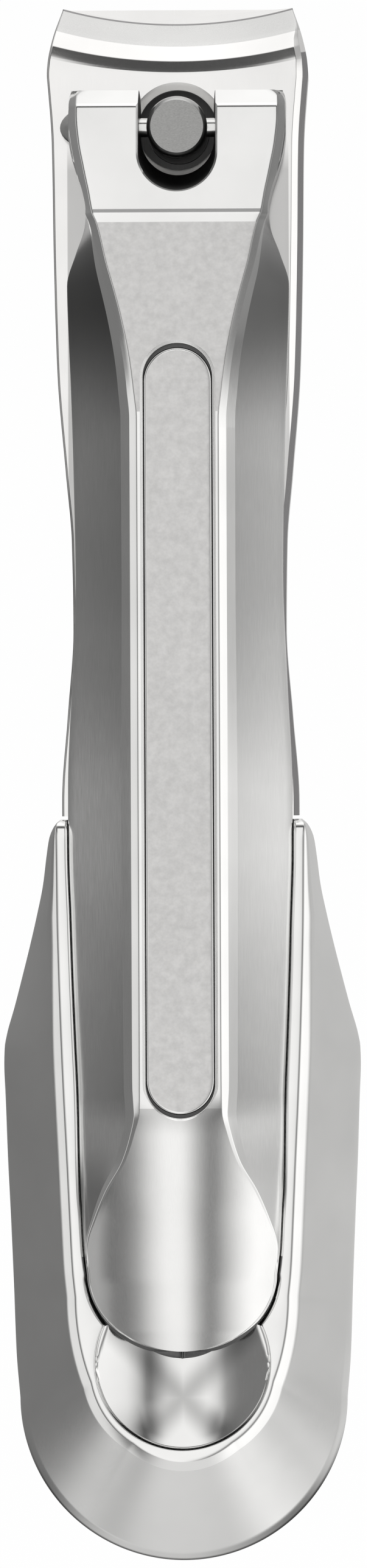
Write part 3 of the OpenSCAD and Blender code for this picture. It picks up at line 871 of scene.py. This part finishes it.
guard_line = smooth([(41, 7.25), (39.5, 7.2), (37, 7.1), (31, 7.05), (24, 6.87), (18, 6.42), (14, 6.07),
                     (9, 6.0), (-14, 6.0)])
CLOSE = math.tan(math.radians(1.235))
for side, word in ((-1, "left"), (1, "right")):
    rings = []
    for y in spread(40.6, -14.0, 120):
        drop = (y + 24) * CLOSE + 0.1 if y > -1.8 else 0.75
        drop = max(drop, 0.75) if y < 12 else drop
        x1, z0, z1 = guard_line(y), 2.7, 6.1 - drop
        x0 = x1 - 0.8
        r = 0.12
        pts = [(x0 + r, z0), (x1 - r, z0), (x1, z0 + r), (x1, z1 - r), (x1 - r, z1), (x0 + r, z1),
               (x0, z1 - r), (x0, z0 + r)]
        rings.append([(side * x, y, z) for x, z in pts])
    v, f = loft(rings)
    guard = piece("side_guard_%s_look" % word, v, f, [guard_metal], None, 50)
    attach(guard, "casing")
    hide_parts("side_guard_" + word)

# ---------------- tail casing

END_R = 9.5
END_Y = TAIL + END_R

case_half = smooth([(-2, 7.0), (-2.25, 7.28), (-2.6, 7.5), (-3.1, 7.68), (-4, 7.82), (-5.8, 8.05),
                    (-7.5, 8.4), (-9.3, 8.82), (-11, 9.25), (-12.8, 9.72), (-14.5, 10.2),
                    (-15.2, 10.32), (-16.2, 10.35), (-18, 10.28), (-21.5, 10.16), (-25, 10.0),
                    (-29, 9.84), (-33, 9.7), (-35.5, 9.5)])
rim_half = smooth([(-2, 7.05), (-4, 7.03), (-7.5, 7.0), (-11, 6.92), (-14.5, 6.81), (-18, 6.67), (-21.6, 6.5),
                   (-25, 6.35), (-28.0, 6.2), (-29.5, 6.05)])
PLAN_POINTS = 1400


def densify(points, n):
    p = np.array(points, float)
    d = np.concatenate([[0], np.cumsum(np.linalg.norm(np.diff(p, axis=0), axis=1))])
    t = np.linspace(0, d[-1], n)
    return np.stack([np.interp(t, d, p[:, 0]), np.interp(t, d, p[:, 1])], 1)


case_plan = densify([(case_half(y), y) for y in spread(-2, END_Y, 300)]
                    + [(END_R * math.cos(a), END_Y - END_R * math.sin(a))
                       for a in spread(0.01, math.pi / 2, 160)], PLAN_POINTS)
rim_plan = densify([(rim_half(y), y) for y in spread(-2, -29.5, 260)]
                   + [(6.05 * math.cos(a), -29.5 - 9.4 * math.sin(a))
                      for a in spread(0.02, math.pi / 2, 160)], PLAN_POINTS)
recess_plan = densify([(lever_base(y) + 0.08, y) for y in spread(-2, TIP_START, 260)]
                      + [(5.6 * math.cos(a), TIP_START - 4.85 * math.sin(a))
                         for a in spread(0.02, math.pi / 2, 120)], PLAN_POINTS)


def reach(plan, c, d):
    """Distance from c to the plan outline along d."""
    p, q = plan[:-1], plan[1:]
    e = q - p
    w = p - np.array(c)
    den = d[0] * e[:, 1] - d[1] * e[:, 0]
    den = np.where(np.abs(den) < 1e-12, 1e-12, den)
    t = (w[:, 0] * e[:, 1] - w[:, 1] * e[:, 0]) / den
    s = (w[:, 0] * d[1] - w[:, 1] * d[0]) / den
    ok = (s >= -1e-6) & (s <= 1 + 1e-6) & (t > 0)
    return float(t[ok].max()) if ok.any() else 0.0


def bowl_reach(c, d):
    """Distance from c to the bowl's edge circle along d."""
    dy = c[1] - BOWL_Y
    b = d[1] * dy
    disc = b * b - (dy * dy - BOWL_R ** 2)
    return -b + math.sqrt(disc) if disc > 0 else 0.0


def rise_along(stops):
    """Height gained along a line whose slope in degrees goes through (place, slope) stops."""
    slope = smooth(stops)
    places = np.linspace(0, 8, 500)
    step = places[1]
    gained = np.concatenate([[0], np.cumsum([math.tan(math.radians(slope(p))) * step for p in places[1:]])])
    return lambda at: float(np.interp(at, places, gained))


rise_across = rise_along([(0, 0), (0.8, 3.0), (1.3, 7.5), (1.9, 14), (2.7, 24), (3.4, 28), (5, 29.5),
                          (8, 29.5)])
rise_tail = rise_along([(0, 0), (0.5, 6), (1.2, 12), (3.2, 20), (8, 20)])
rise_front = rise_along([(0, 0), (1, 5), (3, 10), (7, 14), (8, 14)])


def bowl_z(x, y):
    """The finger bowl: steeper at its sides than along the object, deepest at BOWL_LOW."""
    if math.hypot(x, y - BOWL_Y) > 5.5:
        return 99.0
    away = y - BOWL_LOW
    z = BOWL_FLOOR + rise_across(abs(x)) + (rise_front(away) if away > 0 else rise_tail(-away))
    return min(z, RIM_Z - 0.08)


def floor_at(x, y, inside):
    """Floor of the recess or of the bowl, whichever is lower. inside is the way to the recess wall."""
    a = FLOOR_Z + 1.5 * ease((0.7 - inside) / 0.7) if inside < 90 else FLOOR_Z
    b = bowl_z(x, y)
    k = 0.35
    if abs(a - b) < k:
        h = 0.5 + 0.5 * (b - a) / k
        return mix(b, a, h) - k * h * (1 - h)
    return min(a, b)


EDGE_Z = 4.9
# Points of a section up to the rim: from this one on they are polished
CREST_FROM = 34
stations = [((0.0, y), 0.0) for y in
            [-2.0, -2.02, -2.06, -2.12, -2.2, -2.3, -2.42, -2.56, -2.75, -3.0, -3.3] + spread(-3.7, -29, 96)]
for k in range(1, 131):
    t = k / 130
    stations.append(((0.0, mix(-29, BOWL_Y, ease(t * 1.1))), t * math.pi / 2))

cover_rings = []
for (cx, cy), a in stations:
    d = (math.cos(a), -math.sin(a))
    c = (cx, cy)
    ro, rr = reach(case_plan, c, d), reach(rim_plan, c, d)
    if a == 0:
        ro, rr = case_half(cy), rim_half(cy)
    rec = reach(recess_plan, c, d) if cy > -33.1 else 0.0
    if a == 0 and cy > TIP_START:
        rec = lever_base(cy) + 0.08
    bowl = bowl_reach(c, d)
    rin = max(rec, bowl)
    in_rec = rec >= bowl
    crest_out = min(max(rin + 0.4, rr + 0.08), ro - 0.14)
    crest_in = min(rin + 0.1, crest_out - 0.08)
    rin = min(rin, crest_in - 0.05)
    drop = 0.0
    if a == 0 and cy > -3.0:
        drop = 0.7 * (1 - math.sqrt(max(0, 1 - ((cy + 3.0) / 1.0) ** 2)))
    zc = RIM_Z - drop
    shoulder_r = crest_out + min(0.6, 0.45 * (ro - crest_out))
    z_sh = zc - 0.78 * (shoulder_r - crest_out)
    z_in = zc - 0.12
    pts = [(ro - 0.02, SPLIT_Z), (ro, SPLIT_Z + 0.12), (ro, EDGE_Z),
           (mix(shoulder_r, ro, 0.45), mix(z_sh, EDGE_Z, 0.45)),
           (shoulder_r, z_sh), (crest_out, zc), (crest_in, zc), (rin, z_in)]
    half = fillet(pts, [0, 0.05, 1.6, 9.0, 1.1, 0.35, 0.1, 0], 5)
    # more points down the skirt
    out = half[:13] + at_shares(half[12], half[13], (0.03, 0.1, 0.35, 0.65, 0.9)) + half[13:19]
    out += at_shares(half[18], half[19], (0.1, 0.35, 0.65, 0.9, 0.97)) + half[19:]
    foot = rin - (0.12 if in_rec else 0.3)
    zf = floor_at(c[0] + d[0] * foot, c[1] + d[1] * foot, 99 if in_rec else 0)
    wall_top_z = out[-1][1]
    if in_rec:
        out += [(rin - 0.015, mix(wall_top_z, zf, 0.35)), (rin - 0.03, mix(wall_top_z, zf, 0.75)),
                (foot, zf)]
    else:
        for r in (rin - 0.08, rin - 0.18, foot):
            out.append((r, floor_at(c[0] + d[0] * r, c[1] + d[1] * r, 0)))
    for k in range(1, 31):
        r = foot * (1 - k / 30)
        x, y = c[0] + d[0] * r, c[1] + d[1] * r
        out.append((r, floor_at(x, y, 99 if in_rec else rec - r)))
    cover_rings.append([(c[0] + d[0] * r, c[1] + d[1] * r, z) for r, z in out])

NP = len(cover_rings[0])
tops, unders = [], []
for k, ((cx, cy), a) in enumerate(stations):
    c, d = (cx, cy), (math.cos(a), -math.sin(a))
    ring = cover_rings[k]
    ro = math.hypot(ring[1][0] - cx, ring[1][1] - cy)
    rr = reach(rim_plan, c, d) if a else rim_half(cy)
    ceiling = min(min(z for x, y, z in ring[CREST_FROM:]) - 0.75, 7.95)
    inside = [(0, ceiling), (2.6, ceiling), (5.35, ceiling), (5.4, 5.62), (6.1, 5.6), (6.12, 4.0),
              (6.12, SPLIT_Z)]
    hollow = [(0, ceiling), (2.0, ceiling), (max(rr - 1.5, 3.4), ceiling),
              (mix(rr - 1.0, ro - 1.2, 0.5), 6.0), (ro - 1.3, 4.5), (ro - 1.2, 4.0), (ro - 1.2, SPLIT_Z)]
    variants = [inside] if cy > -3.25 else [hollow]
    if k and stations[k - 1][0][1] > -3.25 >= cy:
        variants = [inside, hollow]
    for under in variants:
        tops.append(ring)
        unders.append([(cx + d[0] * r, cy + d[1] * r, z) for r, z in under])
NU = len(unders[0])
NR = len(tops)
N = NP + NU
cover_v, cover_f, cover_m = [], [], []
for s_ in (1, -1):
    base_i = len(cover_v)
    for top, under in zip(tops, unders):
        cover_v += [(s_ * x, y, z) for x, y, z in top + under]
    for i in range(NR - 1):
        for j in range(N):
            if j == NP - 1:
                continue
            k = (j + 1) % N
            q = (base_i + i * N + j, base_i + (i + 1) * N + j, base_i + (i + 1) * N + k, base_i + i * N + k)
            cover_f.append(q if s_ > 0 else q[::-1])
            cover_m.append(2 if j >= NP else 1 if j >= CREST_FROM else 0)
    cap = tuple(base_i + j for j in range(N))
    cover_f.append(cap if s_ > 0 else cap[::-1])
    cover_m.append(0)
cover = piece("tail_cover_look", cover_v, cover_f, [casing_satin, casing_polish, inner], cover_m, 36)
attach(cover, "casing")
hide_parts("tail_cover")


def shell_prism(name, inset, z0, z1, front):
    pts = [(case_half(y) - inset, y) for y in spread(front, END_Y, 60)]
    pts += [((END_R - inset) * math.cos(a), END_Y - (END_R - inset) * math.sin(a))
            for a in spread(0.03, math.pi / 2, 40)]
    outline = pts + [(-x, y) for x, y in reversed(pts[:-1])]
    return prism(name, outline, [(0, z0), (0, z1)], [inner])


# Base shell: rounded bottom edge, screw holes
rings = []
base_plan = [(case_half(y), y)
             for y in [-2.0, -2.04, -2.12, -2.25, -2.5, -2.8, -3.3] + spread(-4, END_Y, 110)]
base_plan += [(END_R * math.cos(a), END_Y - END_R * math.sin(a))
              for a in spread(0.02, math.pi / 2 - 0.001, 90)]
full = base_plan + [(-x, y) for x, y in reversed(base_plan)]
levels = [(-1.9, 0.0), (-1.5, 0.0), (-1.25, 0.08), (-1.05, 0.25), (-0.75, 0.75), (-0.45, 1.45), (-0.2, 2.2),
          (-0.06, 2.9), (-0.02, 3.3), (-0.06, 3.42), (-0.12, 3.46)]


def inset_outline(outline, off):
    n_ = len(outline)
    pts_ = [np.array(p, float) for p in outline]
    out_ = []
    for i_ in range(n_):
        a_, b_ = pts_[i_] - pts_[i_ - 1], pts_[(i_ + 1) % n_] - pts_[i_]
        na_ = np.array([a_[1], -a_[0]]) / max(np.linalg.norm(a_), 1e-9)
        nb_ = np.array([b_[1], -b_[0]]) / max(np.linalg.norm(b_), 1e-9)
        m_ = na_ + nb_
        m_ = m_ / max(np.linalg.norm(m_), 1e-9)
        out_.append(pts_[i_] - m_ * off)
    return out_


base_rings = []
for off, z in levels:
    o = inset_outline(full, off)
    base_rings.append([(p[0], min(p[1], -2.0 + 0.0 * off), z) for p in o])
v, f = loft(base_rings)
base = piece("tail_base_look", v, f, [casing_satin, inner], None, 36)
base_cuts = [shell_prism("base_hollow", 1.25, 0.75, 5, -3.4)]
base_cuts.append(prism("base_channel", [(-5.35, -30.0), (5.35, -30.0), (5.35, 2), (-5.35, 2)],
                       [(0, 0.75), (0, 6)], [inner]))
base_cuts.append(prism("base_guard_way", [(-6.1, -14.1), (6.1, -14.1), (6.1, 2), (-6.1, 2)],
                       [(0, 2.62), (0, 6)], [inner]))
for x, y in ((-7.6, -18.0), (7.6, -18.0), (0.0, -41.2)):
    base_cuts.append(prism("base_seat", circle(1.54, (x, y), 48), [(0.35, -0.3), (0, 0.05), (0, 0.82)],
                           [inner]))
boolean(base, base_cuts)
crisp(base, 36)
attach(base, "casing")
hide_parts("tail_base")

# ---------------- carried CAD nodes

for node, mat in (("tail_spacer", inner), ("catch_clip", spring_metal)):
    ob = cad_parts[node]
    ob.data.materials.clear()
    ob.data.materials.append(mat)

# ---------------- light and camera

scene = bpy.context.scene
scene.view_settings.view_transform = "Standard"


def white(name, strength):
    m = bpy.data.materials.new(name)
    m.use_nodes = True
    net = Net(m.node_tree)
    out = net.node("ShaderNodeOutputMaterial")
    em = net.node("ShaderNodeEmission")
    em.inputs["Strength"].default_value = strength
    co = net.node("ShaderNodeTexCoord").outputs["Object"]
    tint = net.remap(net.noise(co, 3.0, 1.0, 0.4), 0.3, 0.7, 0.990, 0.995)
    net.put(em.inputs["Color"], tint)
    net.t.links.new(em.outputs[0], out.inputs["Surface"])
    return m


floor_mesh = bpy.data.meshes.new("floor")
S = 3.0
FLOOR_LEVEL = -0.0003
floor_mesh.from_pydata([(x, y, FLOOR_LEVEL) for x, y in ((-S, -S), (S, -S), (S, S), (-S, S))], [],
                       [(0, 1, 2, 3)])
floor = bpy.data.objects.new("floor", floor_mesh)
floor_mesh.materials.append(white("white_floor", 1.0))
scene.collection.objects.link(floor)
for flag in ("visible_diffuse", "visible_glossy", "visible_transmission", "visible_shadow"):
    setattr(floor, flag, False)

world = bpy.data.worlds.new("studio")
scene.world = world
world.use_nodes = True
net = Net(world.node_tree)
out = net.node("ShaderNodeOutputWorld")
bg = net.node("ShaderNodeBackground")
net.t.links.new(bg.outputs[0], out.inputs["Surface"])
# The studio is laid out for the angle the object is looked at from, a little to its right
SIDE_VIEW = math.radians(0.8)
turn = net.node("ShaderNodeVectorRotate", rotation_type="Y_AXIS")
net.put(turn.inputs["Vector"], net.node("ShaderNodeTexCoord").outputs["Generated"])
turn.inputs["Angle"].default_value = SIDE_VIEW
X, Y, Z = net.xyz(turn.outputs[0])
polar = net.math("DIVIDE", net.math("ARCCOSINE", Z), math.pi)
x2 = net.math("MULTIPLY", X, X)
y2 = net.math("MULTIPLY", Y, Y)
flat2 = net.math("ADD", net.math("ADD", x2, y2), 1e-5)


def ring_profile(stops):
    """Brightness by angle from straight up, in degrees."""
    return net.ramp(polar, [(a / 180, v) for a, v in stops])


sideways = net.math("DIVIDE", net.math("ADD", net.math("ARCTAN2", X, Z), math.pi), 2 * math.pi)
across = net.ramp(sideways, [((a + 180) / 360, v) for a, v in (
    (-180, .10), (-150, .12), (-125, .21), (-100, .185), (-86, .17), (-80, .78), (-72, .78), (-66, .17),
    (-56, .17), (-44, .33), (-30, .70), (-16, .92), (0, .92), (6, .80), (18, .42), (27, .22), (34, .24),
    (44, .5), (56, .85), (66, 1.1), (82, 1.0), (92, .5), (110, .5), (180, .5))])
ahead = ring_profile([(0, .92), (43, .92), (47, .08), (56, .06), (62, .5), (68, 1.1), (98, 1.1), (112, .9)])

# Behind the object the strip lights run on; in front of it they give way to a panel
front_share = net.math("MULTIPLY", net.math("GREATER_THAN", Y, 0.0), net.math("DIVIDE", y2, flat2))
share2 = net.math("DIVIDE", net.math("MULTIPLY", x2, y2), net.math("MULTIPLY", flat2, flat2))
corner = net.math("MULTIPLY", net.math("MULTIPLY", share2, share2), 16.0)
corner = net.math("MULTIPLY", corner, net.remap(Z, 0.93, 0.8, 0.0, 0.6))
corner = net.math("MULTIPLY", corner, net.math("GREATER_THAN", Y, 0.0))


def blended(amount, low_value, high_value):
    m = net.node("ShaderNodeMix", data_type="FLOAT")
    net.put(m.inputs[0], amount)
    net.put(m.inputs[2], low_value)
    net.put(m.inputs[3], high_value)
    return m.outputs[0]


total = blended(front_share, across, ahead)
total = net.math("MULTIPLY", total, net.math("SUBTRACT", 1.0, corner))
total = blended(net.remap(Y, -0.80, -0.96, 0.0, 1.0, "SMOOTHSTEP"), total, 0.7)
# Near and below the horizon the brightness goes by compass direction, clockwise from the right
compass = net.math("ARCTAN2", net.math("MULTIPLY", Y, -1.0), X)
compass = net.math("DIVIDE", net.math("ADD", compass, math.pi), 2 * math.pi)
low = net.ramp(compass, [((a + 180) / 360, v) for a, v in (
    (-180, .205), (-125, .3), (-100, .8), (-80, .85), (-55, .6), (0, .56), (22, .70), (30, .55), (38, .34),
    (43, .22), (52, .19), (58, .25), (65, .33), (72, .42), (81, .53), (90, .60), (111, .62), (123, .51),
    (128, .42), (135, .28), (141, .19), (146, .16), (160, .18), (180, .205))])
rear_share = net.math("MULTIPLY", net.math("LESS_THAN", Y, 0.0), net.math("DIVIDE", y2, flat2))
under = net.math("MULTIPLY", net.remap(rear_share, 0.06, 0.4, 0.0, 0.8), net.remap(Z, -0.55, -0.75, 0.0, 1.0))
low = net.math("MULTIPLY", low, net.math("SUBTRACT", 1.0, under))
side_start = net.remap(rear_share, 0.05, 0.3, -0.12, 0.16)
sink = net.math("DIVIDE", net.math("SUBTRACT", side_start, Z), 0.2, None, True)
net.put(bg.inputs["Strength"], blended(sink, total, low))
bg.inputs["Color"].default_value = (1.0, 0.995, 0.985, 1)

cam_data = bpy.data.cameras.new("camera")
cam = bpy.data.objects.new("camera", cam_data)
scene.collection.objects.link(cam)
scene.camera = cam
# Where the camera looks, how far off it is, and the height of the view at AIM_Z + AIM_RISE
AIM_X = 0.00012
AIM_Z = 0.004
AIM_RISE = 0.003
DISTANCE = 0.75
VIEW_HEIGHT = 0.09068
ROLL = math.radians(-0.25)
SENSOR = 36.0
cam_data.sensor_width = SENSOR
cam_data.lens = SENSOR * DISTANCE / VIEW_HEIGHT
cam_data.clip_start = 0.05
cam_data.clip_end = 10.0
away = DISTANCE + AIM_RISE
cam.location = (AIM_X + away * math.sin(SIDE_VIEW), 0.0, AIM_Z + away * math.cos(SIDE_VIEW))
cam.rotation_euler = (0.0, SIDE_VIEW, ROLL)
